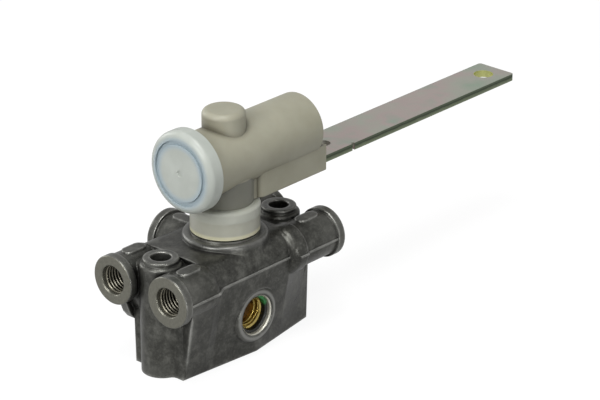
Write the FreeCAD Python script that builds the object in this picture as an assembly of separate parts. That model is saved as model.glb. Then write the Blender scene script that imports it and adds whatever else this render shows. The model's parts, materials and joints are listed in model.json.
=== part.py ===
import FreeCAD, Part
import math
import os

# Levelling valve with a swinging plastic head and a flat steel lever.
# Millimetres. The origin lies on the shaft's axis at the mounting face, +Z along the shaft
# and +X along the lever. The casting is symmetric about the plane y = mid_y.

# Fits and clearances
running_fit = 0.05
seat_gap = 0.02
body_gap = 0.3

# How far joined and cutting shapes run into each other, and how near an edge lies to its plane
overlap = 1.0
near = 0.1

# Casting: overall
middle_x = 0.25
mid_y = 2.5
parting_z = 37.9
block_left_x = -36.0
block_right_x = 39.3
foot_left_half = 13.4
foot_rear_half = 12.6
foot_middle_x = 2.3
foot_middle_half = 17.0
foot_right_half = 11.1
corner_lead = 1.2
end_draft = 0.8
wall_half = 21.9
wall_right_x = 18.0
rear_corner_x = 8.0
flare_left_x = -40.3
flare_half = 24.0
flare_end_x = -26.0
flare_step = 4.3
block_edge = 1.8
lump_left_x = -27.0
lump_right_x = 21.0
lump_rise = 9.6
lump_round = 9.0
lump_edge = 1.0
deck_half_x = 32.0
deck_half_y = 20.4
deck_rise = 7.6
deck_round = 8.0
deck_depth = 3.4
web_past_hole = 5.8
web_half_y = 13.0
web_bottom_z = 18.0
web_slope_height = 12.0
web_edge = 3.0
bead_reach = 0.5
bead_height = 0.8

# Casting: mounting columns and their holes
hole_half_spacing = 33.8
hole_radius = 4.25
column_radius = 8.6
column_rise = 8.8
column_root = 3.0
collar_radius = 7.2
collar_height = 2.0
collar_edge = 0.5
step_edge = 1.3

# Casting: ports
port_radius = 6.0
port_depth = 13.0
port_mouth_chamfer = 0.4
port_pair_half = 15.0
port_face_reach = 45.85
port_stem_radius = 9.5
port_front_collar_radius = 10.5
port_rear_collar_radius = 10.2
port_collar_length = 3.6
port_collar_edge = 0.5
shoulder_radius = 10.3
shoulder_edge = 0.3
shoulder_inner_x = 16.5
shoulder_outer_x = 24.2
boss_inner_x = -24.0
boss_round = 3.6
rear_port_face_y = 33.8
rear_boss_start_y = 12.0
rear_collar_radius = 10.6
gallery_radius = 2.4
gallery_end_length = 1.5
drop_radius = 1.5
pad_length = 11.0
pad_width = 5.5
pad_height = 0.5
pad_root = 1.5
gusset_reach = 4.6
gusset_top_z = 27.4
gusset_bottom_z = 18.6
gusset_thickness = 4.0

# Casting: turret that carries the shaft
turret_radius = 17.2
turret_foot_radius = 18.8
turret_foot_rise = 0.2
turret_depth = 2.4
turret_rise = 11.8
turret_edge = 1.4
turret_flank_inset = 1.2
turret_flank_lift = 1.5
spigot_radius = 9.5
spigot_height = 8.3

# Supply port at the front
supply_z = 17.5
supply_face_y = -17.3
supply_boss_radius = 11.6
supply_boss_edge = 2.0
supply_bore_radius = 8.0
supply_mouth_radius = 8.8
supply_floor_y = -6.8
insert_bore_radius = 6.0
insert_length = 5.3
insert_lead = 0.6
strainer_thickness = 0.9
strainer_hole_radius = 0.8
strainer_ring_radius = 3.6
strainer_holes = 6
seal_inner_radius = 6.8
seal_length = 2.2
seal_edge = 0.5

# Shaft
shaft_radius = 6.0
shaft_bottom_z = 23.2
shaft_shoulder_gap = 0.2
journal_length = 5.5
shaft_end_edge = 0.6
shaft_end_room = 0.4
journal_radius = 5.0
flat_distance = 3.0
bush_bottom_z = 40.0
bush_wall = 1.5
shaft_seal_wall = 2.1
shaft_seal_height = 3.3
shaft_seal_inset = 0.3
seal_lip_width = 0.6
seal_lip_depth = 1.2
clip_gap = 0.4
clip_thickness = 1.0
clip_outer_radius = 8.4
clip_groove_depth = 1.0
clip_opening = 7.0
shaft_ring_z = 29.0
shaft_ring_step = 6.0
shaft_ring_count = 2
ring_section = 0.7
ring_side_gap = 0.1
eccentric_offset = 2.0
eccentric_radius = 1.5
eccentric_bottom_z = 16.3
eccentric_hold = 4.0
eccentric_edge = 0.3
eccentric_room = 1.0

# Spool that the eccentric moves
spool_bore_radius = 5.0
spool_front_y = -4.4
spool_rear_y = 16.0
spool_bore_end_y = 18.0
spool_slot_clearance = 0.25
spool_slot_floor_z = 16.0
spool_waist_radius = 3.4
spool_waist_half = 0.6
spool_ring_y = 4.6
spool_ring_step = 4.4
spool_ring_count = 3
spool_edge = 0.4

# Head: the moulding that turns on the shaft
barrel_rise = 31.9
barrel_radius = 13.5
barrel_rear_x = 43.7
barrel_edge = 0.8
flange_inset = 0.8
chamber_radius = 10.5
chamber_end_x = 7.8
stub_radius = 8.7
stub_roof = 3.1
stub_edge = 2.4
stub_end_gap = 0.6
neck_radius = 11.4
neck_lift = 1.0
neck_room = 1.2
neck_gap = 0.4
bridge_half_y = 9.1
arm_front_x = 8.5
arm_end_x = 47.7
arm_half_y = 11.0
arm_drop = 18.5
arm_height = 11.4
arm_corner = 3.5
arm_edge = 0.8
top_bush_wall = 1.8

# Head: dust skirt and front cap
skirt_radius = 14.2
skirt_wall = 1.1
skirt_lift = 0.6
skirt_flange_height = 4.6
skirt_flange_step = 0.25
skirt_edge = 1.6
turret_ring_height = 0.7
turret_ring_radius = 13.9
cap_radius = 16.9
cap_wall = 1.3
cap_fit = 0.1
cap_front_x = -24.8
cap_back_x = -18.1
cap_plate = 2.2
cap_edge = 2.8
cap_groove_inner = 11.6
cap_groove_outer = 13.4
cap_groove_depth = 0.9
cap_dimple_radius = 1.3
cap_dimple_depth = 0.4
cap_seal_inner = 11.7
cap_seal_outer = 13.6
cap_seal_depth = 1.3
cap_seal_squeeze = 0.4

# Head: over-travel plunger and spring
plunger_face_gap = 0.1
plunger_length = 13.0
plunger_floor = 5.2
plunger_wall = 2.0
spring_wire_radius = 0.9
spring_turns = 4
spring_side_gap = 0.5
spring_disc_thickness = 1.6
spring_post_radius = 4.6
spring_post_length = 4.0

# Lever
lever_width = 18.8
lever_thickness = 3.0
lever_rise = 5.5
lever_root_x = 24.5
lever_tip_x = 171.3
lever_corner = 1.2
link_hole_x = 162.0
link_hole_radius = 4.15
root_hole_x = 58.2
root_hole_radius = 3.0
notch_x = 66.3
notch_width = 1.4
notch_depth = 1.2
lock_pin_x = 36.0
lock_pin_radius = 2.0
lock_pin_rise = 1.5
lock_pin_slit = 0.6

# Places that follow from the sizes above
web_reach = hole_half_spacing + web_past_hole
turret_top_z = parting_z + turret_rise
spigot_top_z = turret_top_z + spigot_height
lump_top_z = parting_z + lump_rise
deck_top_z = parting_z + deck_rise
column_top_z = parting_z + column_rise
collar_top_z = column_top_z + collar_height
bush_top_z = spigot_top_z - shaft_seal_inset - shaft_seal_height
clip_z = spigot_top_z + clip_gap
neck_wall_top_z = clip_z + clip_thickness + neck_room
skirt_bottom_z = turret_top_z + turret_ring_height + skirt_lift
neck_bottom_z = skirt_bottom_z + neck_lift
barrel_z = turret_top_z + barrel_rise
shaft_shoulder_z = barrel_z + chamber_radius + shaft_shoulder_gap
shaft_top_z = shaft_shoulder_z + journal_length
stub_bore_top_z = shaft_top_z + stub_end_gap
stub_top_z = stub_bore_top_z + stub_roof
arm_bottom_z = barrel_z - arm_drop
arm_top_z = arm_bottom_z + arm_height
skirt_top_z = arm_bottom_z - body_gap
skirt_flange_z = skirt_top_z - skirt_flange_height
lever_top_z = arm_bottom_z + lever_rise
lock_pin_top_z = arm_top_z + lock_pin_rise

X = FreeCAD.Vector(1, 0, 0)
Y = FreeCAD.Vector(0, 1, 0)
Z = FreeCAD.Vector(0, 0, 1)


def point(x, y, z):
    return FreeCAD.Vector(x, y, z)


def rod(radius, start, end):
    """A round bar between two points."""
    run = end - start
    return Part.makeCylinder(radius, run.Length, start, run)


def pipe(outer, inner, start, end):
    """A round bar with a hole through it."""
    return rod(outer, start, end).cut(rod(inner, start, end))


def block(low, high):
    """A box between two corners."""
    size = high - low
    return Part.makeBox(size.x, size.y, size.z, low)


def fused(shapes):
    """One solid from several that overlap."""
    return shapes[0].fuse(shapes[1:]).removeSplitter()


def edges_where(shape, test):
    """The edges whose centre passes a test."""
    return [edge for edge in shape.Edges if test(edge.CenterOfMass)]


def ring_at(centre, axis, radius, section):
    """A round sealing ring."""
    return Part.makeTorus(radius, section, centre, axis)


def port_sites():
    """Centre of the face, inward direction and collar radius of the four ports that face along X."""
    sites = []
    for side in (-1, 1):
        face_x = middle_x + side * port_face_reach
        inward = X * -side
        sites.append((point(face_x, mid_y - port_pair_half, parting_z), inward, port_front_collar_radius))
        sites.append((point(face_x, mid_y + port_pair_half, parting_z), inward, port_rear_collar_radius))
    return sites


def outline(front, rear, z):
    """A closed outline at one height, from x and half width along the front and along the rear."""
    front_points = [point(x, mid_y - half, z) for x, half in front]
    rear_points = [point(x, mid_y + half, z) for x, half in reversed(rear)]
    return Part.makePolygon(front_points + rear_points + front_points[:1])


def hole_x(side):
    """Place along X of a mounting hole."""
    return middle_x + side * hole_half_spacing


def foot_half(x, left_half):
    """Half width of the foot at a place along it, from its half width at the left end."""
    if x < foot_middle_x:
        end_x, end_half = block_left_x, left_half
    else:
        end_x, end_half = block_right_x, foot_right_half
    return end_half + (foot_middle_half - end_half) * (x - end_x) / (foot_middle_x - end_x)


def lower_block():
    """The foot of the casting, with its columns' roots; the front wall flares out to the left port."""
    places = [block_left_x, block_left_x + corner_lead, flare_end_x, flare_end_x + flare_step,
              foot_middle_x, wall_right_x, block_right_x]
    rear_places = [block_left_x, block_left_x + rear_corner_x, foot_middle_x, wall_right_x, block_right_x]
    foot = outline([(x, foot_half(x, foot_left_half)) for x in places],
                   [(x, foot_half(x, foot_rear_half)) for x in rear_places], 0)
    right_half = foot_right_half + end_draft
    front = [(block_left_x, foot_left_half + end_draft), (flare_left_x, flare_half),
             (flare_end_x, flare_half), (flare_end_x + flare_step, wall_half),
             (foot_middle_x, wall_half), (wall_right_x, wall_half), (block_right_x, right_half)]
    rear = [(block_left_x, foot_rear_half + end_draft), (block_left_x + rear_corner_x, wall_half),
            (foot_middle_x, wall_half), (wall_right_x, wall_half), (block_right_x, right_half)]
    body = Part.makeLoft([foot, outline(front, rear, parting_z)], True, True)
    corners = edges_where(body, lambda c: c.x > block_right_x - near and abs(c.y - mid_y) > foot_right_half)
    body = body.makeFillet(block_edge, corners)
    roots = [rod(column_radius, point(hole_x(side), mid_y, 0), point(hole_x(side), mid_y, parting_z))
             for side in (-1, 1)]
    body = fused([body] + roots)
    inner = edges_where(body, lambda c: is_column_corner(c))
    return body.makeFillet(column_root, inner)


def is_column_corner(centre):
    """Whether an upright edge's centre lies where a column leaves an end wall."""
    if abs(centre.z - parting_z / 2) > overlap:
        return False
    for wall_x, side in ((block_left_x, -1), (block_right_x, 1)):
        away = wall_x - hole_x(side)
        half = math.sqrt(column_radius ** 2 - away ** 2)
        if abs(centre.x - wall_x) < near and abs(abs(centre.y - mid_y) - half) < near:
            return True
    return False


def main_lump():
    """The rounded middle of the casting, under the turret."""
    low = point(lump_left_x, mid_y - wall_half, parting_z - overlap)
    high = point(lump_right_x, mid_y + wall_half, lump_top_z)
    body = block(low, high)
    long_edges = edges_where(body, lambda c: abs(c.z - lump_top_z) < near and abs(c.y - mid_y) > near)
    body = body.makeFillet(lump_round, long_edges)
    end_edges = edges_where(body, lambda c: c.x > lump_right_x - near and c.z > parting_z + overlap)
    return body.makeFillet(lump_edge, end_edges)


def deck():
    """The flat between the columns and the lump, and the webs at both ends."""
    flat = block(point(-deck_half_x, mid_y - deck_half_y, parting_z - deck_depth),
                 point(deck_half_x, mid_y + deck_half_y, deck_top_z))
    long_edges = edges_where(flat, lambda c: abs(c.z - deck_top_z) < near and abs(c.x) < near)
    return [flat.makeFillet(deck_round, long_edges)] + [end_web(side) for side in (-1, 1)]


def end_web(side):
    """The web between the ports at one end: upright above, sloping back to the end wall below."""
    inner = hole_x(side)
    outer = side * web_reach
    low_y = mid_y - web_half_y
    corners = [point(inner, low_y, web_bottom_z), point(outer, low_y, web_bottom_z + web_slope_height),
               point(outer, low_y, deck_top_z), point(inner, low_y, deck_top_z)]
    web = Part.Face(Part.makePolygon(corners + corners[:1])).extrude(Y * (2 * web_half_y))
    return web.makeFillet(web_edge, edges_where(web, lambda c: abs(c.x - outer) < near))


def port_boss(face, inward, collar_radius_here, end):
    """A port's round boss: a collar at its face and a stem as far as a point on its axis."""
    collar = rod(collar_radius_here, face, face + inward * port_collar_length)
    rim = edges_where(collar, lambda c: (c - face).Length < near)
    collar = collar.makeFillet(port_collar_edge, rim)
    return [collar, rod(port_stem_radius, face + inward * (port_collar_length / 2), end)]


def boss_shoulder(y, radius, inner_x, outer_x):
    """The inner end of a boss, rounded where it rises from the casting's middle."""
    inner = point(inner_x, y, parting_z)
    outer = point(outer_x, y, parting_z)
    body = rod(radius, inner, outer)
    body = body.makeFillet(boss_round, edges_where(body, lambda c: (c - inner).Length < near))
    rim = edges_where(body, lambda c: (c - outer).Length < near)
    return body.makeFillet(shoulder_edge, rim)


def port_cutter(face, inward, gallery_end):
    """A port's bore at its thread's nominal radius, its chamfer and its drilled gallery."""
    floor = face + inward * port_depth
    mouth = Part.makeCone(port_radius + port_mouth_chamfer, port_radius, port_mouth_chamfer, face, inward)
    tip = Part.makeCone(port_radius, gallery_radius, port_radius / 2, floor, inward)
    return fused([rod(port_radius, face, floor), mouth, tip, rod(gallery_radius, floor, gallery_end)])


def number_pad(x, y, along_x):
    """The flat oval pad on top of a port's boss, left bare."""
    half = (pad_length - pad_width) / 2
    top = parting_z + port_stem_radius + pad_height
    low = top - pad_height - pad_root
    step = X * half if along_x else Y * half
    centre = point(x, y, low)
    rise = Z * (top - low)
    ends = [Part.makeCylinder(pad_width / 2, rise.Length, centre + step * s) for s in (-1, 1)]
    reach = X * half + Y * (pad_width / 2) if along_x else X * (pad_width / 2) + Y * half
    return fused(ends + [block(centre - reach, centre + reach + rise)])


def column(side):
    """A mounting column with its stepped collar."""
    x = hole_x(side)
    stem = rod(column_radius, point(x, mid_y, 0), point(x, mid_y, column_top_z))
    stem = stem.makeFillet(step_edge, edges_where(stem, lambda c: abs(c.z - column_top_z) < near))
    collar = rod(collar_radius, point(x, mid_y, column_top_z - overlap), point(x, mid_y, collar_top_z))
    collar = collar.makeFillet(collar_edge, edges_where(collar, lambda c: abs(c.z - collar_top_z) < near))
    return [stem, collar]


def gusset(side):
    """The sloped web that carries a rear port's boss."""
    wall_x = block_left_x if side < 0 else block_right_x
    inner_x = hole_x(side)
    outer_x = wall_x + side * gusset_reach
    drop = gusset_top_z - gusset_bottom_z
    low_y = mid_y + port_pair_half - gusset_thickness / 2
    corners = [point(inner_x, low_y, gusset_bottom_z), point(wall_x, low_y, gusset_bottom_z),
               point((wall_x + outer_x) / 2, low_y, gusset_bottom_z + drop / 3),
               point(outer_x, low_y, gusset_top_z), point(outer_x, low_y, parting_z),
               point(inner_x, low_y, parting_z)]
    face = Part.Face(Part.makePolygon(corners + corners[:1]))
    return face.extrude(Y * gusset_thickness)


def turret():
    """The round top of the casting and the spigot that holds the shaft's bush."""
    rim_z = turret_top_z - turret_edge
    foot_z = parting_z + turret_foot_rise
    bottom_z = parting_z - turret_depth
    flank_z = (foot_z + rim_z) / 2 + turret_flank_lift
    shoulder = Part.Arc(point(turret_foot_radius, 0, foot_z),
                        point(turret_foot_radius - turret_flank_inset, 0, flank_z),
                        point(turret_radius, 0, rim_z))
    edge_cut = turret_edge * (1 - math.sqrt(0.5))
    edge = Part.Arc(point(turret_radius, 0, rim_z),
                    point(turret_radius - edge_cut, 0, turret_top_z - edge_cut),
                    point(turret_radius - turret_edge, 0, turret_top_z))
    rest = [point(turret_radius - turret_edge, 0, turret_top_z), point(spigot_radius, 0, turret_top_z),
            point(spigot_radius, 0, spigot_top_z), point(0, 0, spigot_top_z), point(0, 0, bottom_z),
            point(turret_foot_radius, 0, bottom_z), point(turret_foot_radius, 0, foot_z)]
    lines = [Part.makeLine(a, b) for a, b in zip(rest, rest[1:])]
    profile = Part.Wire([shoulder.toShape(), edge.toShape()] + lines)
    return Part.Face(profile).revolve(point(0, 0, 0), Z, 360)


def parting_bead(side):
    """The fine raised line along one side, where the two halves of the die met."""
    wall = wall_half + bead_reach
    stem = port_pair_half + port_stem_radius + bead_reach
    shoulder = port_pair_half + shoulder_radius + bead_reach
    left_end = middle_x - port_face_reach + port_collar_length - seat_gap
    right_end = middle_x + port_face_reach - port_collar_length + seat_gap
    reaches = [(left_end, port_pair_half), (left_end, stem), (flare_end_x, stem),
               (flare_end_x + flare_step, wall), (shoulder_inner_x, wall),
               (shoulder_inner_x + boss_round, shoulder), (shoulder_outer_x, shoulder),
               (shoulder_outer_x + bead_height, stem), (right_end, stem), (right_end, port_pair_half)]
    corners = [point(x, mid_y + side * half, parting_z - bead_height / 2) for x, half in reaches]
    return Part.Face(Part.makePolygon(corners + corners[:1])).extrude(Z * bead_height)


def supply_boss():
    """The round boss of the supply port on the front wall."""
    start = point(0, supply_face_y, supply_z)
    boss = rod(supply_boss_radius, start, point(0, 0, supply_z))
    rim = edges_where(boss, lambda c: abs(c.y - supply_face_y) < near)
    return boss.makeFillet(supply_boss_edge, rim)


def supply_spot_face():
    """The round spot face milled into the wall around the supply port."""
    face = point(0, supply_face_y, supply_z)
    return rod(supply_boss_radius, face, face - Y * supply_boss_radius)


def supply_cutter():
    """The stepped bore behind the supply port, and the spool's bore beyond it."""
    face = point(0, supply_face_y, supply_z)
    floor = point(0, supply_floor_y, supply_z)
    depth = supply_mouth_radius - supply_bore_radius
    mouth = Part.makeCone(supply_mouth_radius, supply_bore_radius, depth, face, Y)
    spool_bore = rod(spool_bore_radius, floor, point(0, spool_bore_end_y, supply_z))
    return fused([rod(supply_bore_radius, face, floor), mouth, spool_bore])


def shaft_cutter():
    """The shaft's bore, the seats of its bush and seal, and room for the eccentric."""
    sweep = eccentric_offset + eccentric_radius + eccentric_room
    bottom = point(0, 0, shaft_bottom_z - shaft_end_room)
    running = rod(shaft_radius + running_fit, bottom, point(0, 0, spigot_top_z))
    bush_seat = rod(bush_outer(), point(0, 0, bush_bottom_z), point(0, 0, spigot_top_z))
    seal_seat = rod(shaft_seal_outer(), point(0, 0, bush_top_z), point(0, 0, spigot_top_z))
    pin_room = rod(sweep, point(0, 0, supply_z), point(0, 0, shaft_bottom_z))
    return fused([running, bush_seat, seal_seat, pin_room])


def bush_outer():
    return shaft_radius + running_fit + bush_wall


def shaft_seal_outer():
    return shaft_radius + running_fit + shaft_seal_wall


def valve_casting():
    """The die-cast body with all its bosses, bores and galleries."""
    shapes = [lower_block(), main_lump(), turret(), supply_boss()] + deck()
    for side in (-1, 1):
        shapes += column(side) + [gusset(side), parting_bead(side)]
        y = mid_y + side * port_pair_half
        shapes.append(boss_shoulder(y, shoulder_radius, shoulder_inner_x, shoulder_outer_x))
        shapes.append(boss_shoulder(y, port_stem_radius, boss_inner_x, block_left_x))
        for along in (-1, 1):
            shapes.append(number_pad(hole_x(along), y, True))
    for face, inward, collar in port_sites():
        inner_x = boss_inner_x - boss_round if face.x < middle_x else shoulder_inner_x + boss_round
        shapes += port_boss(face, inward, collar, point(inner_x, face.y, face.z))
    rear_face = point(middle_x, rear_port_face_y, parting_z)
    rear_end = point(middle_x, rear_boss_start_y, parting_z)
    shapes += port_boss(rear_face, Y * -1, rear_collar_radius, rear_end)
    shapes.append(number_pad(middle_x, rear_port_face_y - pad_length, False))
    body = fused(shapes)
    cutters = [shaft_cutter(), supply_cutter(), supply_spot_face()]
    for side in (-1, 1):
        x = hole_x(side)
        low = point(x, mid_y, -overlap)
        cutters.append(rod(hole_radius, low, point(x, mid_y, collar_top_z + overlap)))
    for face, inward, collar in port_sites():
        cutters.append(port_cutter(face, inward, point(0, face.y, face.z)))
    gallery_end = rear_face - Y * (port_depth + port_radius / 2 + gallery_end_length)
    cutters.append(port_cutter(rear_face, Y * -1, gallery_end))
    for y in (mid_y - port_pair_half, mid_y + port_pair_half - drop_radius):
        cutters.append(rod(drop_radius, point(0, y, supply_z), point(0, y, parting_z)))
    for cutter in cutters:
        body = body.cut(cutter)
    return body


def shaft_bush():
    """The plain bearing of the shaft."""
    return pipe(bush_outer() - seat_gap, shaft_radius + running_fit,
                point(0, 0, bush_bottom_z), point(0, 0, bush_top_z))


def shaft_seal():
    """The lip seal above the bush."""
    outer = shaft_seal_outer() - seat_gap
    body = pipe(outer, shaft_radius + running_fit,
                point(0, 0, bush_top_z), point(0, 0, bush_top_z + shaft_seal_height))
    lip_start = point(0, 0, bush_top_z + shaft_seal_height - seal_lip_depth)
    lip = Part.makeCone(shaft_radius + seal_lip_width, outer - seal_lip_width, seal_lip_depth, lip_start, Z)
    return body.cut(lip)


def turret_ring():
    """The bright wear ring that lies on the turret under the skirt."""
    return pipe(turret_ring_radius, spigot_radius + seat_gap,
                point(0, 0, turret_top_z), point(0, 0, turret_top_z + turret_ring_height))


def brass_insert():
    """The brass insert of the supply port."""
    back_y = supply_floor_y - strainer_thickness
    front_y = back_y - insert_length
    body = pipe(supply_bore_radius - seat_gap, insert_bore_radius,
                point(0, front_y, supply_z), point(0, back_y, supply_z))
    lead = Part.makeCone(insert_bore_radius + insert_lead, insert_bore_radius, insert_lead,
                         point(0, front_y, supply_z), Y)
    return body.cut(lead)


def supply_seal():
    """The sealing ring in front of the brass insert."""
    back_y = supply_floor_y - strainer_thickness - insert_length
    body = pipe(supply_bore_radius - seat_gap, seal_inner_radius,
                point(0, back_y - seal_length, supply_z), point(0, back_y, supply_z))
    girth = 2 * math.pi * seal_inner_radius
    rims = [edge for edge in body.Edges if abs(edge.Length - girth) < near]
    return body.makeFillet(seal_edge, rims)


def inlet_strainer():
    """The perforated disc that keeps dirt out of the valve."""
    front = point(0, supply_floor_y - strainer_thickness, supply_z)
    disc = rod(supply_bore_radius - seat_gap, front, point(0, supply_floor_y, supply_z))
    disc = disc.cut(rod(strainer_hole_radius, front, point(0, supply_floor_y, supply_z)))
    for turn in range(strainer_holes):
        angle = 2 * math.pi * turn / strainer_holes
        shift = X * (strainer_ring_radius * math.cos(angle)) + Z * (strainer_ring_radius * math.sin(angle))
        disc = disc.cut(rod(strainer_hole_radius, front + shift, point(0, supply_floor_y, supply_z) + shift))
    return disc


def control_shaft():
    """The shaft: journals at both ends, a flat for the plunger and the grooves of its rings."""
    body = rod(shaft_radius, point(0, 0, shaft_bottom_z), point(0, 0, shaft_shoulder_z))
    journal = rod(journal_radius, point(0, 0, shaft_shoulder_z - overlap), point(0, 0, shaft_top_z))
    top_edges = edges_where(journal, lambda c: abs(c.z - shaft_top_z) < near)
    journal = journal.makeChamfer(shaft_end_edge, top_edges)
    body = body.fuse(journal).removeSplitter()
    flat_half = chamber_radius + body_gap
    body = body.cut(block(point(-2 * shaft_radius, -2 * shaft_radius, barrel_z - flat_half),
                          point(-flat_distance, 2 * shaft_radius, barrel_z + flat_half)))
    clip_groove = pipe(shaft_radius + overlap, shaft_radius - clip_groove_depth,
                       point(0, 0, clip_z), point(0, 0, clip_z + clip_thickness))
    body = body.cut(clip_groove)
    for z in shaft_ring_heights():
        groove = pipe(shaft_radius + overlap, shaft_radius - 2 * ring_section,
                      point(0, 0, z - groove_half()), point(0, 0, z + groove_half()))
        body = body.cut(groove)
    pin_hole = rod(eccentric_radius + seat_gap, point(eccentric_offset, 0, shaft_bottom_z),
                   point(eccentric_offset, 0, shaft_bottom_z + eccentric_hold))
    return body.cut(pin_hole)


def groove_half():
    """Half the width of a sealing ring's groove."""
    return ring_section + ring_side_gap


def shaft_ring_heights():
    return [shaft_ring_z + shaft_ring_step * turn for turn in range(shaft_ring_count)]


def shaft_ring(z):
    """A round sealing ring in the shaft's groove."""
    return ring_at(point(0, 0, z), Z, shaft_radius - ring_section, ring_section - seat_gap)


def shaft_clip():
    """The open clip that holds the shaft down in the turret."""
    body = pipe(clip_outer_radius, shaft_radius - clip_groove_depth + seat_gap,
                point(0, 0, clip_z + seat_gap), point(0, 0, clip_z + clip_thickness - seat_gap))
    mouth = block(point(0, -clip_opening / 2, clip_z - overlap),
                  point(2 * clip_outer_radius, clip_opening / 2, clip_z + clip_thickness + overlap))
    return body.cut(mouth)


def eccentric_pin():
    """The pin off the shaft's centre that moves the spool."""
    pin = rod(eccentric_radius, point(eccentric_offset, 0, eccentric_bottom_z),
              point(eccentric_offset, 0, shaft_bottom_z + eccentric_hold))
    return pin.makeFillet(eccentric_edge, edges_where(pin, lambda c: abs(c.z - eccentric_bottom_z) < near))


def spool_ring_places():
    return [spool_ring_y + spool_ring_step * turn for turn in range(spool_ring_count)]


def valve_spool():
    """The spool: a driving slot across it, lands, waists and ring grooves."""
    radius = spool_bore_radius - running_fit
    body = rod(radius, point(0, spool_front_y, supply_z), point(0, spool_rear_y, supply_z))
    ends = edges_where(body, lambda c: c.y < spool_front_y + near or c.y > spool_rear_y - near)
    body = body.makeChamfer(spool_edge, ends)
    slot_half = eccentric_radius + spool_slot_clearance
    slot = block(point(-2 * radius, -slot_half, spool_slot_floor_z),
                 point(2 * radius, slot_half, supply_z + 2 * radius))
    body = body.cut(slot)
    places = spool_ring_places()
    for y in places:
        groove = pipe(radius + overlap, radius - 2 * ring_section,
                      point(0, y - groove_half(), supply_z), point(0, y + groove_half(), supply_z))
        body = body.cut(groove)
    for before, after in zip(places, places[1:]):
        middle = (before + after) / 2
        waist = pipe(radius + overlap, spool_waist_radius,
                     point(0, middle - spool_waist_half, supply_z),
                     point(0, middle + spool_waist_half, supply_z))
        body = body.cut(waist)
    return body


def spool_ring(y):
    """A round sealing ring in the spool's groove."""
    outer = spool_bore_radius - running_fit
    return ring_at(point(0, y, supply_z), Y, outer - ring_section, ring_section - seat_gap)


def lever_head():
    """The plastic moulding: barrel, stub, neck and the arm that holds the lever."""
    front_x = barrel_front_x()
    barrel = rod(barrel_radius, point(front_x, 0, barrel_z), point(barrel_rear_x, 0, barrel_z))
    barrel = barrel.makeFillet(barrel_edge, edges_where(barrel, lambda c: c.x > barrel_rear_x - near))
    flange_radius = cap_radius - cap_wall - cap_fit
    flange = rod(flange_radius, point(front_x, 0, barrel_z), point(cap_back_x - flange_inset, 0, barrel_z))
    stub = rod(stub_radius, point(0, 0, barrel_z), point(0, 0, stub_top_z))
    stub = stub.makeFillet(stub_edge, edges_where(stub, lambda c: c.z > stub_top_z - near))
    neck = rod(neck_radius, point(0, 0, neck_bottom_z), point(0, 0, barrel_z - barrel_radius / 2))
    arm = block(point(arm_front_x, -arm_half_y, arm_bottom_z), point(arm_end_x, arm_half_y, arm_top_z))
    corners = edges_where(arm, lambda c: abs(c.x - arm_front_x) < near and abs(c.y) > near)
    arm = arm.makeFillet(arm_corner, corners)
    lower_edges = edges_where(arm, lambda c: abs(c.z - arm_bottom_z) < near and abs(c.y) > near)
    arm = arm.makeFillet(arm_edge, lower_edges)
    bridge = block(point(0, -bridge_half_y, arm_bottom_z),
                   point(arm_front_x + arm_corner, bridge_half_y, arm_top_z))
    body = fused([barrel, flange, stub, neck, arm, bridge])
    cutters = [rod(chamber_radius, point(front_x, 0, barrel_z), point(chamber_end_x, 0, barrel_z)),
               rod(spigot_radius + neck_gap, point(0, 0, neck_bottom_z), point(0, 0, neck_wall_top_z)),
               rod(shaft_radius + running_fit, point(0, 0, neck_wall_top_z), point(0, 0, barrel_z)),
               rod(top_bush_outer(), point(0, 0, barrel_z), point(0, 0, stub_bore_top_z)),
               lever_slot(), lock_pin_hole(), cap_seal_groove()]
    for cutter in cutters:
        body = body.cut(cutter)
    return body


def top_bush_outer():
    return journal_radius + running_fit + top_bush_wall


def lever_slot():
    """The slot that the lever's root is pushed into."""
    half = lever_width / 2 + seat_gap
    return block(point(lever_root_x - seat_gap, -half, lever_top_z - lever_thickness - seat_gap),
                 point(arm_end_x + overlap, half, lever_top_z + seat_gap))


def lock_pin_hole():
    return rod(lock_pin_radius + seat_gap,
               point(lock_pin_x, 0, arm_bottom_z), point(lock_pin_x, 0, lock_pin_top_z))


def cap_seal_groove():
    front_x = barrel_front_x()
    return pipe(cap_seal_outer, cap_seal_inner, point(front_x, 0, barrel_z),
                point(front_x + cap_seal_depth, 0, barrel_z))


def barrel_front_x():
    return cap_front_x + cap_plate + cap_seal_squeeze


def top_bush():
    """The bearing of the shaft's upper journal, pressed into the stub."""
    return pipe(top_bush_outer() - seat_gap, journal_radius + running_fit,
                point(0, 0, shaft_shoulder_z + running_fit), point(0, 0, stub_bore_top_z))


def dust_skirt():
    """The translucent skirt round the neck: a plain band below, a thicker flange above."""
    outer = skirt_radius - skirt_flange_step
    band = rod(outer, point(0, 0, skirt_bottom_z), point(0, 0, skirt_flange_z + overlap))
    flange = rod(skirt_radius, point(0, 0, skirt_flange_z), point(0, 0, skirt_top_z))
    flange = flange.makeFillet(skirt_edge, edges_where(flange, lambda c: c.z > skirt_top_z - near))
    body = fused([band, flange])
    low = point(0, 0, skirt_bottom_z)
    body = body.cut(rod(outer - skirt_wall, low, point(0, 0, skirt_top_z - skirt_wall)))
    return body.cut(rod(neck_radius + seat_gap, low, point(0, 0, skirt_top_z)))


def front_cap():
    """The round cap that closes the barrel, with a ring groove and a dimple in its face."""
    front = point(cap_front_x, 0, barrel_z)
    body = rod(cap_radius, front, point(cap_back_x, 0, barrel_z))
    body = body.makeFillet(cap_edge, edges_where(body, lambda c: c.x < cap_front_x + near))
    body = body.cut(rod(cap_radius - cap_wall, point(cap_front_x + cap_plate, 0, barrel_z),
                        point(cap_back_x, 0, barrel_z)))
    groove_floor = point(cap_front_x + cap_groove_depth, 0, barrel_z)
    groove = pipe(cap_groove_outer, cap_groove_inner, front, groove_floor)
    dimple = rod(cap_dimple_radius, front, point(cap_front_x + cap_dimple_depth, 0, barrel_z))
    return body.cut(groove).cut(dimple)


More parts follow.
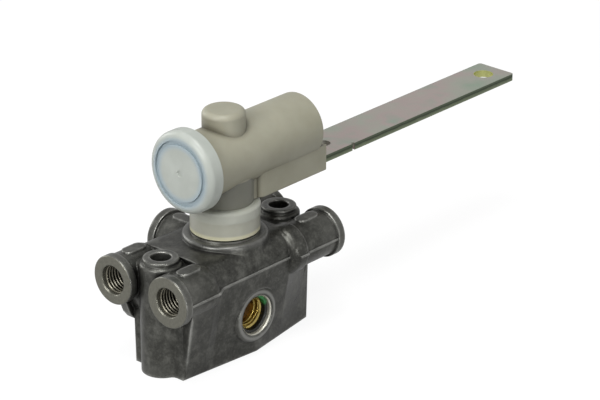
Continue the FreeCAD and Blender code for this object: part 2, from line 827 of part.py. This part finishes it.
def cap_seal():
    """The sealing ring between the cap and the barrel."""
    return pipe(cap_seal_outer - seat_gap, cap_seal_inner + seat_gap,
                point(cap_front_x + cap_plate, 0, barrel_z),
                point(barrel_front_x() + cap_seal_depth, 0, barrel_z))


def spring_disc():
    """The disc on the cap's inner face that centres the spring."""
    back = point(cap_front_x + cap_plate, 0, barrel_z)
    disc = rod(chamber_radius - body_gap, back, point(spring_disc_face_x(), 0, barrel_z))
    post = rod(spring_post_radius, back, point(spring_disc_face_x() + spring_post_length, 0, barrel_z))
    return disc.fuse(post).removeSplitter()


def spring_disc_face_x():
    return cap_front_x + cap_plate + spring_disc_thickness


def plunger_face_x():
    return -flat_distance - plunger_face_gap


def overtravel_plunger():
    """The cup-shaped plunger that bears on the shaft's flat."""
    face_x = plunger_face_x()
    radius = chamber_radius - running_fit
    body = rod(radius, point(face_x - plunger_length, 0, barrel_z), point(face_x, 0, barrel_z))
    return body.cut(rod(radius - plunger_wall, point(face_x - plunger_length, 0, barrel_z),
                        point(face_x - plunger_floor, 0, barrel_z)))


def overtravel_spring():
    """The compression spring between the disc and the plunger's floor."""
    start_x = spring_disc_face_x() + spring_wire_radius + seat_gap
    end_x = plunger_face_x() - plunger_floor - spring_wire_radius - seat_gap
    radius = chamber_radius - plunger_wall - spring_wire_radius - spring_side_gap
    helix = Part.makeHelix((end_x - start_x) / spring_turns, end_x - start_x, radius)
    circle = Part.Wire(Part.makeCircle(spring_wire_radius, point(radius, 0, 0), Y))
    coil = Part.Wire(helix.Edges).makePipeShell([circle], True, True)
    coil.rotate(point(0, 0, 0), Y, 90)
    coil.translate(point(start_x, 0, barrel_z))
    return coil


def lever_bar():
    """The flat steel lever with its link hole, root hole and notch."""
    half = lever_width / 2
    bar = block(point(lever_root_x, -half, lever_top_z - lever_thickness),
                point(lever_tip_x, half, lever_top_z))
    corners = edges_where(bar, lambda c: c.x > lever_tip_x - near and abs(c.y) > half - near)
    bar = bar.makeFillet(lever_corner, corners)
    holes = [(link_hole_x, link_hole_radius), (root_hole_x, root_hole_radius),
             (lock_pin_x, lock_pin_radius + seat_gap)]
    for x, radius in holes:
        bar = bar.cut(rod(radius, point(x, 0, lever_top_z - lever_thickness), point(x, 0, lever_top_z)))
    notch = block(point(notch_x - notch_width / 2, -half - overlap, lever_top_z - lever_thickness),
                  point(notch_x + notch_width / 2, -half + notch_depth, lever_top_z))
    return bar.cut(notch)


def lever_lock_pin():
    """The rolled pin that locks the lever in the arm."""
    bottom_z = arm_bottom_z + body_gap
    bottom = point(lock_pin_x, 0, bottom_z)
    pin = pipe(lock_pin_radius, lock_pin_radius / 2, bottom, point(lock_pin_x, 0, lock_pin_top_z - body_gap))
    slit = block(point(lock_pin_x, -lock_pin_slit / 2, bottom_z),
                 point(lock_pin_x + 2 * lock_pin_radius, lock_pin_slit / 2, lock_pin_top_z))
    return pin.cut(slit)


def all_parts():
    """Every piece of the valve under its own name."""
    parts = {
        "valve_casting": valve_casting(),
        "shaft_bush": shaft_bush(),
        "shaft_seal": shaft_seal(),
        "turret_ring": turret_ring(),
        "brass_insert": brass_insert(),
        "supply_seal": supply_seal(),
        "inlet_strainer": inlet_strainer(),
        "control_shaft": control_shaft(),
        "shaft_clip": shaft_clip(),
        "eccentric_pin": eccentric_pin(),
        "valve_spool": valve_spool(),
        "lever_head": lever_head(),
        "top_bush": top_bush(),
        "dust_skirt": dust_skirt(),
        "front_cap": front_cap(),
        "cap_seal": cap_seal(),
        "spring_disc": spring_disc(),
        "overtravel_plunger": overtravel_plunger(),
        "overtravel_spring": overtravel_spring(),
        "lever_bar": lever_bar(),
        "lever_lock_pin": lever_lock_pin(),
    }
    for turn, z in enumerate(shaft_ring_heights()):
        parts["shaft_ring_%d" % (turn + 1)] = shaft_ring(z)
    for turn, y in enumerate(spool_ring_places()):
        parts["spool_ring_%d" % (turn + 1)] = spool_ring(y)
    return parts


def main():
    os.makedirs("parts", exist_ok=True)
    for name, shape in all_parts().items():
        print(name, len(shape.Solids), shape.isValid(), round(shape.Volume, 1))
        shape.exportStep("parts/%s.step" % name)


main()
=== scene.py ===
import bmesh
import bpy
import json
import math
from functools import cached_property
from mathutils import Matrix, Vector

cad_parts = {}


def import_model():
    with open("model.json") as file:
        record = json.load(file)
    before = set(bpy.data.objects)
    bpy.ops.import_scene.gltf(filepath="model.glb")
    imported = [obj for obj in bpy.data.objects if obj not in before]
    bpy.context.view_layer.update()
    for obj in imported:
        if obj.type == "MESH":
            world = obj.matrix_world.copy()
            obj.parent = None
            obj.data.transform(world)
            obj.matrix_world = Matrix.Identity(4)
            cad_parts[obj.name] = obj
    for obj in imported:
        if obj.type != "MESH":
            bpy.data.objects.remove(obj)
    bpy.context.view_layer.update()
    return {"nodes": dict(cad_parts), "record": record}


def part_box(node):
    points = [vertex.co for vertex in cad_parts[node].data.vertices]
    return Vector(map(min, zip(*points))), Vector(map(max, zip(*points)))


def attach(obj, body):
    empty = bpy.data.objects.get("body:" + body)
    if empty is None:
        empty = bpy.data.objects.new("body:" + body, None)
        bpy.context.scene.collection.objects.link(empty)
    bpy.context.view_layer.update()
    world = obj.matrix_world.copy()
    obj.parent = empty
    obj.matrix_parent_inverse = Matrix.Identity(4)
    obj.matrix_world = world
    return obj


# Levelling valve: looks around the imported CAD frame. Metres, in the row frame.

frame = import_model()
nodes = frame["nodes"]
record = frame["record"]
mm = 0.001


def mount(name):
    """A mount of the record by its name."""
    return next(m for m in record["mounts"] if m["name"] == name)


# Places that the materials and the added pieces take from the frame
casting_low, casting_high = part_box("valve_casting")
cap_low, cap_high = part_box("front_cap")
lever_low, lever_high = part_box("lever_bar")
skirt_low, skirt_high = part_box("dust_skirt")
port_names = ["port_front_left", "port_rear_left", "port_front_right", "port_rear_right", "port_rear"]
barrel_z = (cap_low[2] + cap_high[2]) / 2
shaft_foot = (0.0, 0.0, 0.0)

# Directions of the lines that distances are measured from
x_axis, y_axis, z_axis = (1, 0, 0), (0, 1, 0), (0, 0, 1)

# Bores: how deep their machined look goes, and how wide it is there and on a port's face
machined_depth = 14 * mm
machined_fade = 1 * mm
port_bore_radius = 6.5 * mm
port_face_radius = 12 * mm
supply_bore_radius = 8.4 * mm

# How far the bores open behind a port's face, the insert's front and the supply boss's front
port_recess = 0.4 * mm
insert_recess = 0.6 * mm
supply_seal_depth = 2.2 * mm

# The lever head's neck, as far as the painted shade on it goes
neck_radius = 11.6 * mm
neck_top = barrel_z - 8 * mm

# Threads: M12x1.5. Their roots lie a little inside the bore's wall, and they end short of its mouth
thread_pitch = 1.5 * mm
thread_depth = 0.72 * mm
thread_root_gap = 0.02 * mm
thread_steps_per_turn = 48
port_thread_gap = 0.2 * mm
insert_thread_gap = 0.1 * mm

# Half widths of a thread's root and crest, as shares of its pitch
root_half_width = 0.47
crest_half_width = 0.08

# Samples per point for inner corners and outer edges, and for rounded edges
corner_samples = 6
bevel_samples = 8

# Stage and world: what the camera, glass and gloss see of them, and the plain light that they give
floor_size = 12.0
floor_height = -0.2 * mm
floor_grey = 0.34
floor_glow = 0.6
glow_strength = 1.5
glossy_share = 0.5
world_light = 0.22
world_seen = 1.0

# Camera: its place, and the line of sight as a turn about Z and a tilt below level
camera_place = (-0.7261, -0.6984, 0.5108)
camera_yaw = math.radians(42.2)
camera_pitch = math.radians(24.0)
camera_lens = 168.0
camera_sensor = 36.0
camera_reach = 50.0

# Lamps: name, place, point aimed at, side length in metres and power in watts
middle = (0.0, 0.0, 0.05)
lamps = [
    ("key", (-1.2, -0.1, 0.7), middle, 0.6, 11.0),
    ("side", (0.9, -0.8, 0.5), middle, 0.9, 0.5),
    ("top", (-0.3, -0.15, 1.3), (0.05, 0.0, 0.05), 0.45, 8.5),
    ("front", (-0.6, -0.7, 1.1), middle, 0.3, 3.0),
    ("low", (-0.33, -1.15, 0.06), (0.0, 0.0, 0.04), 0.2, 3.5),
    ("back", (-0.2, 1.15, 0.4), middle, 0.6, 4.0),
]


# Node helpers

black = (0.0, 0.0, 0.0, 1.0)
white = (1.0, 1.0, 1.0, 1.0)


def srgb(red, green, blue):
    """A colour written in screen values, 0 to 255, as linear values."""
    channels = []
    for value in (red, green, blue):
        part = value / 255
        channels.append(part / 12.92 if part <= 0.04045 else ((part + 0.055) / 1.055) ** 2.4)
    return (*channels, 1.0)


class Graph:
    """The nodes of a material or world. Where a method takes a value, it may be a number or a socket."""

    def __init__(self, owner):
        owner.use_nodes = True
        self.owner = owner
        self.tree = owner.node_tree

    def add(self, kind, **settings):
        """A new node. A setting goes to the input of its name, or else to the node itself."""
        node = self.tree.nodes.new(kind)
        for key, value in settings.items():
            if key in node.inputs:
                self.feed(node.inputs[key], value)
            else:
                setattr(node, key, value)
        return node

    def feed(self, socket, value):
        """Links a socket to an input, or sets the input's own value."""
        if hasattr(value, "links"):
            self.tree.links.new(value, socket)
        else:
            socket.default_value = value

    def math(self, operation, first, second=0.0):
        """One step of arithmetic."""
        node = self.add("ShaderNodeMath", operation=operation)
        self.feed(node.inputs[0], first)
        self.feed(node.inputs[1], second)
        return node.outputs[0]

    def times(self, first, second):
        return self.math("MULTIPLY", first, second)

    def plus(self, first, second):
        return self.math("ADD", first, second)

    def inverse(self, value):
        """1 less a value."""
        return self.math("SUBTRACT", 1.0, value)

    def largest(self, first, second):
        return self.math("MAXIMUM", first, second)

    def less(self, value, limit):
        """1 where a value is under a limit, 0 elsewhere."""
        return self.math("LESS_THAN", value, limit)

    def scaled(self, value, scale, offset):
        """A value times a scale, plus an offset."""
        return self.plus(self.times(value, scale), offset)

    def step(self, value, low, high):
        """0 below low, 1 above high, smooth between them."""
        settings = {"interpolation_type": "SMOOTHSTEP", "From Min": low, "From Max": high, "Value": value}
        return self.add("ShaderNodeMapRange", **settings).outputs["Result"]

    def band(self, value, rise, fall):
        """1 between two edges, each given as the values where it starts and ends."""
        return self.times(self.step(value, *rise), self.inverse(self.step(value, *fall)))

    def seen(self):
        """1 for what the camera sees, also through glass, and a share of it for what gloss reflects."""
        rays = self.add("ShaderNodeLightPath").outputs
        straight = self.largest(rays["Is Camera Ray"], rays["Is Transmission Ray"])
        return self.largest(straight, self.times(rays["Is Glossy Ray"], glossy_share))


class Look(Graph):
    """A material on the default shader, patterned in coordinates that ride with the piece."""

    def __init__(self, name):
        super().__init__(bpy.data.materials.new(name))
        self.shader = self.tree.nodes["Principled BSDF"]

    @cached_property
    def space(self):
        return self.add("ShaderNodeTexCoord").outputs["Object"]

    @cached_property
    def split(self):
        """The coordinates one by one, as X, Y and Z."""
        return self.add("ShaderNodeSeparateXYZ", Vector=self.space).outputs

    def vector(self, operation, first, second=None):
        """One step of arithmetic with vectors: the node's outputs."""
        node = self.add("ShaderNodeVectorMath", operation=operation)
        self.feed(node.inputs[0], first)
        if second is not None:
            self.feed(node.inputs[1], second)
        return node.outputs

    def distance_from(self, centre, axis):
        """Distance from the line through a centre along one of the frame's axes."""
        across = Vector((1, 1, 1)) - Vector([abs(part) for part in axis])
        shift = self.vector("SUBTRACT", self.space, centre)[0]
        return self.vector("LENGTH", self.vector("MULTIPLY", shift, across)[0])["Value"]

    def distance_along(self, centre, axis):
        """Distance from a centre along an axis, below 0 behind it."""
        shift = self.vector("SUBTRACT", self.space, centre)[0]
        return self.vector("DOT_PRODUCT", shift, axis)["Value"]

    def noise(self, scale, detail, roughness=0.55):
        """Noise at a scale in waves per metre."""
        settings = {"Scale": scale, "Detail": detail, "Roughness": roughness, "Vector": self.space}
        return self.add("ShaderNodeTexNoise", **settings).outputs["Fac"]

    def ramp(self, value, stops):
        """A colour ramp over a value, from pairs of position and colour."""
        node = self.add("ShaderNodeValToRGB", Fac=value)
        elements = node.color_ramp.elements
        while len(elements) < len(stops):
            elements.new(0.5)
        for element, (position, colour) in zip(elements, stops):
            element.position = position
            element.color = colour
        return node.outputs["Color"]

    def clouds(self, value, dark, light):
        """A colour that wanders between two with a noise."""
        return self.ramp(value, [(0.3, dark), (0.7, light)])

    def layer(self, under, share, over, strength=None):
        """Lays a colour over another where a share is 1, at a strength if one is given."""
        node = self.add("ShaderNodeMix", data_type="RGBA")
        factor, first, second = (node.inputs[index] for index in (0, 6, 7))
        self.feed(factor, share if strength is None else self.times(share, strength))
        self.feed(first, under)
        self.feed(second, over)
        return node.outputs[2]

    def closeness(self, reach, inside):
        """How near the piece's own walls are within a reach, on the open side or through the piece."""
        settings = {"Distance": reach, "inside": inside, "only_local": True, "samples": corner_samples}
        return self.inverse(self.add("ShaderNodeAmbientOcclusion", **settings).outputs["AO"])

    def edge(self, reach):
        """How much a point is an outer edge."""
        return self.closeness(reach, True)

    def corner(self, reach):
        """How much a point is an inner corner."""
        return self.closeness(reach, False)

    def shade(self, values):
        """Gives the shader's inputs their values, by name."""
        for name, value in values.items():
            self.feed(self.shader.inputs[name], value)

    def relief(self, height, strength, distance, rounding=None):
        """A bump on the shader, over edges that look rounded if a rounding's radius is given."""
        node = self.add("ShaderNodeBump", Strength=strength, Distance=distance, Height=height)
        if rounding is not None:
            bevel = self.add("ShaderNodeBevel", samples=bevel_samples, Radius=rounding)
            self.feed(node.inputs["Normal"], bevel.outputs["Normal"])
        self.feed(self.shader.inputs["Normal"], node.outputs["Normal"])


# Places of the ports

def port_mouth(site):
    """The middle of a port's machined face, which lies in one side of the casting's box."""
    out = Vector(site["axis"])
    centre = Vector(site["pos_m"])
    for axis in range(3):
        if out[axis] < -0.5:
            centre[axis] = casting_low[axis]
        elif out[axis] > 0.5:
            centre[axis] = casting_high[axis]
    return centre


def supply_mouth():
    """The middle of the supply port's mouth, on the front of its boss."""
    low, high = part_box("supply_seal")
    return Vector(((low[0] + high[0]) / 2, low[1] - supply_seal_depth, (low[2] + high[2]) / 2))


def bore_mouth(site):
    """The point where a threaded mount's bore opens."""
    if site["name"] == "supply_insert":
        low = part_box("brass_insert")[0]
        return Vector((0.0, low[1] + insert_recess, site["pos_m"][2]))
    return port_mouth(site) - Vector(site["axis"]) * port_recess


# Materials

def in_bore(look, mouth, out, radius):
    """1 in a bore as far as its machined look goes, 0 elsewhere."""
    deep = look.step(look.distance_along(mouth, out), -machined_depth, machined_fade - machined_depth)
    return look.times(deep, look.less(look.distance_from(mouth, out), radius))


def on_port(look, site):
    """1 on a port's machined face and in its bore, 0 elsewhere."""
    mouth = port_mouth(site)
    out = Vector(site["axis"])
    face = look.step(look.distance_along(mouth, out), -0.2 * mm, -0.1 * mm)
    near = look.less(look.distance_from(mouth, out), port_face_radius)
    return look.largest(in_bore(look, mouth, out, port_bore_radius), look.times(face, near))


def supply_highlight_ring(look):
    """1 around the supply port's mouth, on its boss's outer rounding where a highlight is painted, 0
    elsewhere.
    """
    mouth = supply_mouth()
    ring = look.band(look.distance_from(mouth, y_axis), (8.8 * mm, 9.6 * mm), (10 * mm, 11 * mm))
    return look.times(ring, look.less(look.split["Y"], mouth[1] + 6 * mm))


def turret_rim_highlight(look):
    """1 along the turret's rim under the skirt, where a highlight is painted, 0 elsewhere."""
    outward = look.distance_from(shaft_foot, z_axis)
    ring = look.band(outward, (13.8 * mm, 15.8 * mm), (16.4 * mm, 17.8 * mm))
    return look.times(ring, look.step(look.split["Z"], skirt_low[2] - 4.4 * mm, skirt_low[2] - 2.6 * mm))


def casting_material():
    """Dark die-cast skin, mottled and speckled, with painted highlights on its broad rounds, supply boss
    ring and turret rim, worn metal with a painted highlight along its edges, painted shade in its corners,
    and machined port faces and bores."""
    look = Look("cast_skin")
    broad = look.noise(190.0, 7.0, 0.68)
    fine = look.noise(900.0, 8.0, 0.7)
    skin = look.ramp(broad, [(0.3, srgb(48, 48, 45)), (0.5, srgb(68, 68, 64)), (0.7, srgb(102, 102, 97))])
    speckle = look.ramp(fine, [(0.5, black), (0.75, white)])
    skin = look.layer(skin, speckle, srgb(126, 126, 120), 0.35)
    # Lighter on broad rounds: partly worn metal, partly a painted highlight
    skin = look.layer(skin, look.step(look.edge(6 * mm), 0.25, 0.85), srgb(118, 118, 113), 0.6)
    # Outer edges lighter in patches: partly worn metal, partly a painted highlight
    patchy = look.plus(broad, 0.3)
    wear_and_highlight = look.step(look.times(look.edge(2 * mm), patchy), 0.15, 0.65)
    skin = look.layer(skin, wear_and_highlight, srgb(178, 178, 173))
    # A painted highlight on the supply boss's outer rounding
    skin = look.layer(skin, supply_highlight_ring(look), srgb(150, 150, 146), 0.7)
    # A painted highlight along the turret's rim, in patches
    skin = look.layer(skin, look.times(turret_rim_highlight(look), patchy), srgb(122, 122, 119))
    # Painted shade: inner corners darkened nearly to black
    skin = look.layer(skin, look.step(look.corner(5 * mm), 0.1, 0.7), srgb(26, 26, 24))
    machined = 0.0
    for name in port_names:
        machined = look.largest(machined, on_port(look, mount(name)))
    skin = look.layer(skin, machined, look.clouds(fine, srgb(104, 103, 94), srgb(124, 123, 113)))
    supply_bore = in_bore(look, supply_mouth(), Vector(mount("supply_insert")["axis"]), supply_bore_radius)
    skin = look.layer(skin, supply_bore, srgb(214, 212, 200))
    look.shade({"Base Color": skin, "Metallic": 0.75, "Specular IOR Level": 0.3,
                "Roughness": look.scaled(broad, 0.45, 0.12)})
    look.relief(look.scaled(fine, 0.5, broad), 0.4, 0.25 * mm, rounding=1.1 * mm)
    return look.owner


def plastic_material():
    """Beige glass-filled plastic, faintly cloudy and satin, with painted shade in its corners and creases
    and on the neck.
    """
    look = Look("moulding_plastic")
    cloud = look.noise(60.0, 3.0)
    grain = look.noise(900.0, 4.0)
    colour = look.clouds(cloud, srgb(144, 142, 124), srgb(158, 156, 139))
    # Painted shade in deep hollows, such as under the barrel
    colour = look.layer(colour, look.step(look.corner(20 * mm), 0.05, 0.5), srgb(104, 100, 84), 0.8)
    # Painted shade in tight creases, such as the seam of barrel and arm
    colour = look.layer(colour, look.step(look.corner(3 * mm), 0.06, 0.3), srgb(76, 72, 58), 0.85)
    # Painted shade: the neck under the barrel greyed
    neck = look.times(look.less(look.distance_from(shaft_foot, z_axis), neck_radius),
                      look.less(look.split["Z"], neck_top))
    colour = look.layer(colour, neck, srgb(98, 99, 92), 0.75)
    look.shade({"Base Color": colour, "Roughness": look.scaled(grain, 0.15, 0.38),
                "Subsurface Weight": 0.15, "Subsurface Radius": (2 * mm, 1.6 * mm, 1.2 * mm)})
    look.relief(grain, 0.06, 0.1 * mm)
    return look.owner


def milky_material():
    """Milky translucent plastic: the cap with a cool ring in its groove, the skirt with a paler flange and
    a yellowish lower rim."""
    look = Look("milky_plastic")
    cloud = look.noise(80.0, 3.0)
    cap = look.clouds(cloud, srgb(176, 181, 174), srgb(190, 195, 188))
    skirt = look.clouds(cloud, srgb(164, 164, 150), srgb(180, 180, 168))
    flange = look.step(look.split["Z"], skirt_high[2] - 5.5 * mm, skirt_high[2] - 4.5 * mm)
    skirt = look.layer(skirt, flange, srgb(180, 182, 171))
    rim = look.inverse(look.step(look.split["Z"], skirt_low[2] + 1 * mm, skirt_low[2] + 2 * mm))
    skirt = look.layer(skirt, rim, srgb(206, 203, 176))
    colour = look.layer(skirt, look.less(look.split["X"], skirt_low[0]), cap)
    away = look.distance_from((0.0, 0.0, barrel_z), x_axis)
    groove = look.band(away, (9 * mm, 11.8 * mm), (13 * mm, 15.6 * mm))
    front = look.inverse(look.step(look.split["X"], cap_low[0] + 1 * mm, cap_low[0] + 2 * mm))
    colour = look.layer(colour, look.times(groove, front), srgb(166, 180, 186))
    look.shade({"Base Color": colour, "Roughness": look.scaled(cloud, 0.1, 0.3), "Transmission Weight": 0.12,
                "Subsurface Weight": 0.5, "Subsurface Radius": (3 * mm, 3 * mm, 3 * mm)})
    return look.owner


def zinc_material():
    """Yellow-passivated zinc: pale metal with pink and green clouds, olive on the sheared edges and yellow
    in the link hole."""
    look = Look("zinc_plate")
    broad = look.noise(36.0, 3.0)
    fine = look.noise(260.0, 5.0)
    colour = look.ramp(broad, [(0.32, srgb(148, 168, 148)), (0.45, srgb(170, 172, 160)),
                               (0.57, srgb(180, 164, 160)), (0.7, srgb(148, 168, 152))])
    colour = look.layer(colour, fine, srgb(190, 188, 180), 0.3)
    height = look.math("SUBTRACT", look.split["Z"], lever_low[2])
    height = look.math("DIVIDE", height, lever_high[2] - lever_low[2])
    height = look.plus(height, look.times(fine, 0.3))
    sheared = look.ramp(height, [(0.15, srgb(132, 140, 116)), (0.55, srgb(104, 114, 92)),
                                 (0.75, srgb(60, 68, 54)), (1.0, srgb(88, 98, 80))])
    across = look.math("ABSOLUTE", look.split["Y"])
    side = look.step(across, lever_high[1] - 0.2 * mm, lever_high[1] - 0.1 * mm)
    colour = look.layer(colour, side, sheared)
    hole = mount("link_hole")
    away = look.distance_from(Vector(hole["pos_m"]), z_axis)
    in_hole = look.less(away, (hole["dims"]["r_mm"] + 0.15) * mm)
    colour = look.layer(colour, in_hole, srgb(196, 198, 132))
    look.shade({"Base Color": colour, "Metallic": 0.8, "Roughness": look.scaled(fine, 0.2, 0.3)})
    look.relief(fine, 0.08, 0.1 * mm)
    return look.owner


def metal_material(name, dark, light, roughness, metallic=1.0, scale=300.0):
    """A turned or ground metal between two colours."""
    look = Look(name)
    grain = look.noise(scale, 4.0)
    look.shade({"Base Color": look.clouds(grain, dark, light), "Metallic": metallic,
                "Roughness": look.scaled(grain, 0.15, roughness)})
    look.relief(grain, 0.05, 0.1 * mm)
    return look.owner


def dull_material(name, dark, light, roughness):
    """Rubber or dark plastic between two colours."""
    return metal_material(name, dark, light, roughness, metallic=0.0, scale=500.0)


def seal_material():
    """Green rubber, near black except for a patch high on the right."""
    look = Look("green_seal")
    grain = look.noise(500.0, 4.0)
    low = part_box("supply_seal")[0]
    patch_middle = (low[0] + 13.5 * mm, low[1], low[2] + 13.0 * mm)
    away = look.vector("DISTANCE", look.space, patch_middle)["Value"]
    # Near black all round, but for a green patch high on the right
    near_black = look.step(look.plus(away, look.times(grain, 1 * mm)), 3.0 * mm, 4.6 * mm)
    green = look.clouds(grain, srgb(20, 96, 44), srgb(44, 136, 66))
    look.shade({"Base Color": look.layer(green, near_black, srgb(18, 20, 17)),
                "Roughness": look.scaled(grain, 0.15, 0.3)})
    look.relief(grain, 0.05, 0.1 * mm)
    return look.owner


materials = {
    "cast_dark": casting_material(),
    "beige_plastic": plastic_material(),
    "clear_plastic": milky_material(),
    "zinc_steel": zinc_material(),
    "brass": metal_material("turned_brass", srgb(132, 112, 54), srgb(206, 186, 118), 0.2),
    "bronze": metal_material("sintered_bronze", srgb(120, 92, 56), srgb(150, 118, 76), 0.45),
    "steel_bright": metal_material("ground_steel", srgb(150, 150, 144), srgb(178, 178, 172), 0.25),
    "cut_thread": metal_material("cut_thread", srgb(104, 101, 90), srgb(140, 137, 124), 0.3),
    "steel_dark": metal_material("oiled_steel", srgb(70, 70, 70), srgb(100, 100, 98), 0.35),
    "green_rubber": seal_material(),
    "black_rubber": dull_material("black_seal", srgb(22, 22, 22), srgb(36, 36, 36), 0.5),
    "dark_plastic": dull_material("dark_moulding", srgb(40, 40, 42), srgb(56, 56, 58), 0.45),
}


def dress_nodes():
    """Gives each CAD node its material by the record's slot."""
    slots = {part["node"]: part["material_slot"] for part in record["subparts"]}
    for name, node in nodes.items():
        node.data.materials.clear()
        node.data.materials.append(materials[slots[name]])


# Threads

def thread_mesh(name, length, nominal, minor, pitch):
    """A thread's ridge as a closed helical strip, along +Z from 0 to length, thinning out at both ends."""
    mesh = bmesh.new()
    turns = (length - pitch) / pitch
    total = int(turns * thread_steps_per_turn)
    run_out = thread_steps_per_turn / 3
    root = nominal + thread_root_gap
    rings = []
    for index in range(total + 1):
        angle = 2 * math.pi * index / thread_steps_per_turn
        z = pitch / 2 + pitch * index / thread_steps_per_turn
        fade = min(1.0, index / run_out, (total - index) / run_out)
        crest = nominal - (nominal - minor) * fade
        profile = [(root, -root_half_width), (crest, -crest_half_width),
                   (crest, crest_half_width), (root, root_half_width)]
        rings.append([mesh.verts.new((radius * math.cos(angle), radius * math.sin(angle), z + part * pitch))
                      for radius, part in profile])
    for before, after in zip(rings, rings[1:]):
        for side in range(4):
            beside = (side + 1) % 4
            mesh.faces.new((before[side], before[beside], after[beside], after[side]))
    mesh.faces.new(rings[0])
    mesh.faces.new(list(reversed(rings[-1])))
    bmesh.ops.recalc_face_normals(mesh, faces=mesh.faces)
    data = bpy.data.meshes.new(name)
    mesh.to_mesh(data)
    mesh.free()
    for face in data.polygons:
        face.use_smooth = abs(face.normal.z) < 0.999
    piece = bpy.data.objects.new(name, data)
    bpy.context.scene.collection.objects.link(piece)
    return piece


def place_thread(site_name, material_name, mouth_gap):
    """A thread inside one threaded mount, a little back from its mouth."""
    site = mount(site_name)
    out = Vector(site["axis"])
    length = site["dims"]["length_mm"] * mm
    nominal = site["dims"]["r_mm"] * mm
    minor = nominal - thread_depth
    piece = thread_mesh("thread_" + site_name, length - mouth_gap, nominal, minor, thread_pitch)
    piece.data.transform(out.to_track_quat("Z", "Y").to_matrix().to_4x4())
    piece.data.transform(Matrix.Translation(bore_mouth(site) - out * length))
    piece.data.materials.append(materials[material_name])
    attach(piece, "valve_body")


def add_threads():
    """The ridges of all threads that fittings go into."""
    for name in port_names:
        place_thread(name, "cut_thread", port_thread_gap)
    place_thread("supply_insert", "brass", insert_thread_gap)


# Stage, light and camera

def plane(name, size, height):
    """A level square around the origin."""
    mesh = bpy.data.meshes.new(name)
    half = size / 2
    corners = [(-half, -half), (half, -half), (half, half), (-half, half)]
    mesh.from_pydata([(x, y, height) for x, y in corners], [], [(0, 1, 2, 3)])
    thing = bpy.data.objects.new(name, mesh)
    bpy.context.scene.collection.objects.link(thing)
    return thing


def stage():
    """A pale floor that looks white to the camera and keeps the object's soft shadow."""
    floor = plane("floor", floor_size, floor_height)
    look = Look("pale_floor")
    look.shade({"Base Color": (floor_grey, floor_grey, floor_grey, 1.0), "Roughness": 0.9,
                "Specular IOR Level": 0.0})
    glow = look.add("ShaderNodeEmission", Strength=glow_strength)
    blend = look.add("ShaderNodeMixShader", Fac=look.times(look.seen(), floor_glow))
    look.feed(blend.inputs[1], look.shader.outputs["BSDF"])
    look.feed(blend.inputs[2], glow.outputs["Emission"])
    look.feed(look.tree.nodes["Material Output"].inputs["Surface"], blend.outputs["Shader"])
    floor.data.materials.append(look.owner)


def world():
    """White around the scene for the camera, and little plain light from it."""
    sky = Graph(bpy.data.worlds.new("studio"))
    settings = {"To Min": world_light, "To Max": world_seen, "Value": sky.seen()}
    strength = sky.add("ShaderNodeMapRange", **settings).outputs["Result"]
    background = sky.tree.nodes["Background"]
    sky.feed(background.inputs["Strength"], strength)
    sky.feed(background.inputs["Color"], white)
    bpy.context.scene.world = sky.owner


def lamp(name, place, target, size, power):
    """A square area lamp at a place, turned to a target."""
    data = bpy.data.lights.new(name, "AREA")
    data.shape = "RECTANGLE"
    data.size = size
    data.size_y = size
    data.energy = power
    thing = bpy.data.objects.new(name, data)
    thing.location = place
    thing.rotation_euler = (Vector(target) - Vector(place)).to_track_quat("-Z", "Y").to_euler()
    bpy.context.scene.collection.objects.link(thing)


def camera():
    """The photograph's view."""
    data = bpy.data.cameras.new("camera")
    data.sensor_width = camera_sensor
    data.lens = camera_lens
    data.clip_end = camera_reach
    thing = bpy.data.objects.new("camera", data)
    thing.location = camera_place
    thing.rotation_euler = (math.pi / 2 - camera_pitch, 0.0, camera_yaw - math.pi / 2)
    bpy.context.scene.collection.objects.link(thing)
    bpy.context.scene.camera = thing


dress_nodes()
add_threads()
stage()
world()
for row in lamps:
    lamp(*row)
camera()
bpy.context.scene.view_settings.view_transform = "Standard"
